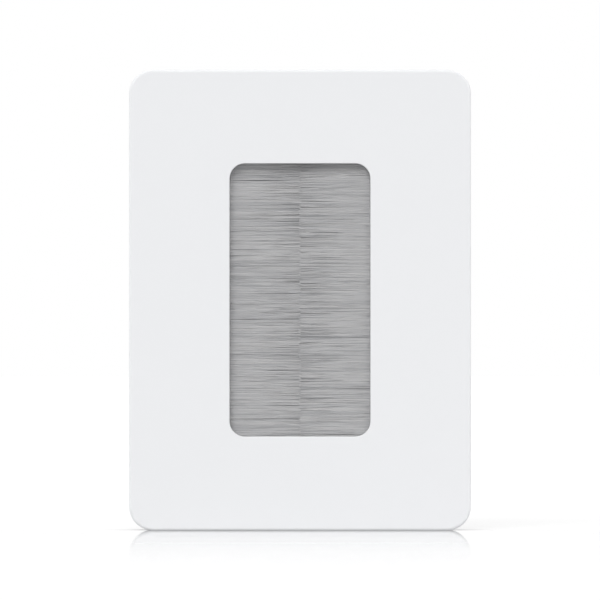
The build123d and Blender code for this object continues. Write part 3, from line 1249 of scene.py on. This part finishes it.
@dataclass
class Studio:
    """White floor and surroundings, soft lamps and the camera in front of the plate."""

    image_pixels: float = 600.0
    plate_pixels: float = 342.05
    distance: float = 2.0
    sensor: float = 36.0
    floor_half: float = 4.0
    ambient: float = 0.26
    floor: FloorFinish = FloorFinish(
        name="studio_floor",
        tint=Tint(170, 170, 170),
        lift=0.65,
        spill=0.36,
        foot=-8 * MM,
        fade=185 * MM,
        rear_fade=2 * MM,
        contact=12 * MM,
        polish=1.16,
    )
    lamps: tuple[Lamp, ...] = (
        Lamp("key_lamp", 0.255, 42.0, -10.0, 31.0),
        Lamp("left_lamp", 0.23, 35.0, -38.0, 34.0),
        Lamp("right_lamp", 0.125, 35.0, 38.0, 34.0),
        Lamp("far_left_lamp", 0.22, 15.0, -78.0, 40.0),
        Lamp("far_right_lamp", 0.27, 15.0, 78.0, 40.0),
        Lamp("overhead_lamp", 0.08, 82.0, 0.0, 60.0),
        Lamp("rear_lamp", 0.24, 40.0, 165.0, 60.0),
    )

    def build_floor(self) -> None:
        """Lays the floor under the plate's lower edge."""
        low = CAD_BOX[0].z
        reach = self.floor_half
        corners = [(-reach, -reach, low), (reach, -reach, low), (reach, reach, low), (-reach, reach, low)]
        mesh = bpy.data.meshes.new("studio_floor")
        mesh.from_pydata(corners, [], [(0, 1, 2, 3)])
        mesh.materials.append(self.floor.material())
        add_object("studio_floor", mesh)

    def build_world(self) -> None:
        """Makes the surroundings: white to look at, and a plain soft light on the object."""
        world = bpy.data.worlds.new("studio_world")
        world.use_nodes = True
        world.node_tree.nodes.clear()
        sheet = NodeSheet(world.node_tree)
        strength = seen_directly(sheet) * (1.0 - self.ambient) + self.ambient
        background = sheet.add("ShaderNodeBackground", {"Color": WHITE, "Strength": strength})
        sheet.add("ShaderNodeOutputWorld", {"Surface": background.outputs[0]})
        bpy.context.scene.world = world

    def build_camera(self) -> None:
        """Places the camera straight in front of the plate, framed as the photograph is."""
        low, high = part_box("front_cover")
        view_width = (high.x - low.x) * self.image_pixels / self.plate_pixels
        camera = bpy.data.cameras.new("camera")
        camera.sensor_width = self.sensor
        camera.lens = self.sensor * self.distance / view_width
        made = bpy.data.objects.new("camera", camera)
        made.location = (0.5 * (low.x + high.x), low.y - self.distance, 0.5 * (low.z + high.z))
        made.rotation_euler = (QUARTER_TURN, 0.0, 0.0)
        bpy.context.scene.collection.objects.link(made)
        bpy.context.scene.camera = made

    def build(self) -> None:
        """Sets up the whole studio."""
        bpy.context.scene.view_settings.view_transform = "Standard"
        self.build_floor()
        self.build_world()
        for lamp in self.lamps:
            lamp.build()
        self.build_camera()


@dataclass
class Housing:
    """The clip-on cover, the mounting frame behind it and the screws that hold the frame to the wall box."""

    cover: bpy.types.Material
    inner: bpy.types.Material
    plating: bpy.types.Material
    frame_edge: float = 0.2 * MM
    screw_head_height: float = 1.8 * MM

    def screws(self) -> ScrewSet:
        """Machine screws of the frame, with shanks into the wall box.

        Returns:
            The set.
        """
        low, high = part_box("wall_screws")
        head_radius = 0.5 * (high.x - low.x)
        seat = low.y + self.screw_head_height
        z = high.z - head_radius
        return ScrewSet(
            name="wall_screw_set",
            node="wall_screws",
            seats=[Vector((0.0, seat, sz * z)) for sz in (-1, 1)],
            turn=Euler((QUARTER_TURN, 0.0, 0.0)),
            material=self.plating,
            head_radius=head_radius,
            head_height=self.screw_head_height,
            drive_span=4.4 * MM,
            drive_width=1.0 * MM,
            drive_depth=1.1 * MM,
            length=high.y - seat,
            neck_length=-seat,
            neck_radius=1.5 * MM,
            core_radius=1.32 * MM,
            crest_radius=1.75 * MM,
            pitch=0.794 * MM,
            point=0.6 * MM,
        )

    def build(self) -> None:
        """Dresses the cover and makes the frame and its screws."""
        dress("front_cover", self.cover)
        SoftEdged("frame_soft", "mounting_frame", Slot.FRAME, self.frame_edge, self.inner).build()
        self.screws().build()


@dataclass
class BrushPair:
    """The two facing strip brushes and the screws of their straps."""

    channel: bpy.types.Material
    wire: bpy.types.Material
    strap: bpy.types.Material
    nylon: bpy.types.Material
    plating: bpy.types.Material
    screw_head_radius: float = 2.0 * MM

    def screws(self) -> ScrewSet:
        """Screws of the straps, with heads towards the wall.

        Returns:
            The set.
        """
        low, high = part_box("clamp_screws")
        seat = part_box("brush_clamp_right")[1].y
        x, z = high.x - self.screw_head_radius, high.z - self.screw_head_radius
        return ScrewSet(
            name="strap_screw_set",
            node="clamp_screws",
            seats=[Vector((sx * x, seat, sz * z)) for sx in (-1, 1) for sz in (-1, 1)],
            turn=Euler((-QUARTER_TURN, 0.0, 0.0)),
            material=self.plating,
            head_radius=self.screw_head_radius,
            head_height=high.y - seat,
            drive_span=2.4 * MM,
            drive_width=0.6 * MM,
            drive_depth=0.75 * MM,
            length=seat - low.y,
            neck_length=0.9 * MM,
            neck_radius=0.95 * MM,
            core_radius=0.8 * MM,
            crest_radius=1.1 * MM,
            pitch=0.8 * MM,
            point=0.35 * MM,
        )

    def build(self) -> None:
        """Makes both brushes and their screws."""
        for seed, side in enumerate(Side):
            StripBrush(side, seed, self.channel, self.wire, self.strap, self.nylon).build()
        self.screws().build()


def main() -> None:
    """Builds every piece in order, then the studio round it."""
    logging.basicConfig(level=logging.INFO, format="%(name)s: %(message)s")
    cover = PlasticFinish(
        name="cool_white_satin",
        shade=Tint(237, 238, 240),
        tint=Tint(238, 239, 241),
        smooth=0.55,
        rough=0.68,
        grain_size=0.35 * MM,
        grain_depth=0.006 * MM,
    )
    inner = PlasticFinish(
        name="off_white_moulded",
        shade=Tint(218, 218, 214),
        tint=Tint(224, 224, 220),
        smooth=0.45,
        rough=0.6,
        grain_size=0.6 * MM,
        grain_depth=0.012 * MM,
    )
    channel = DrawnFinish(
        name="drawn_aluminium",
        shade=Tint(178, 180, 182),
        tint=Tint(204, 205, 207),
        smooth=0.25,
        rough=0.42,
        streak_width=0.12 * MM,
        streak_length=9 * MM,
        streak_depth=0.004 * MM,
    )
    wire = DrawnFinish(
        name="bright_wire",
        shade=Tint(143, 143, 143),
        tint=Tint(163, 163, 163),
        smooth=0.2,
        rough=0.35,
        streak_width=0.05 * MM,
        streak_length=5 * MM,
        streak_depth=0.002 * MM,
    )
    strap = PlatedFinish(
        name="zinc_strap",
        shade=Tint(156, 160, 164),
        tint=Tint(184, 186, 188),
        smooth=0.32,
        rough=0.52,
        crystal_size=0.7 * MM,
        haze_depth=0.006 * MM,
    )
    screw = PlatedFinish(
        name="zinc_screw",
        shade=Tint(162, 163, 161),
        tint=Tint(186, 186, 183),
        smooth=0.28,
        rough=0.42,
        crystal_size=0.18 * MM,
        haze_depth=0.002 * MM,
    )
    nylon = NylonFinish(
        name="grey_nylon",
        shade=Tint(165, 166, 169),
        tint=Tint(202, 201, 201),
        smooth=0.5,
        rough=0.65,
    )

    plating = screw.material()
    Housing(cover.material(), inner.material(), plating).build()
    BrushPair(channel.material(), wire.material(), strap.material(), nylon.material(), plating).build()
    Studio().build()


if __name__ == "__main__":
    main()
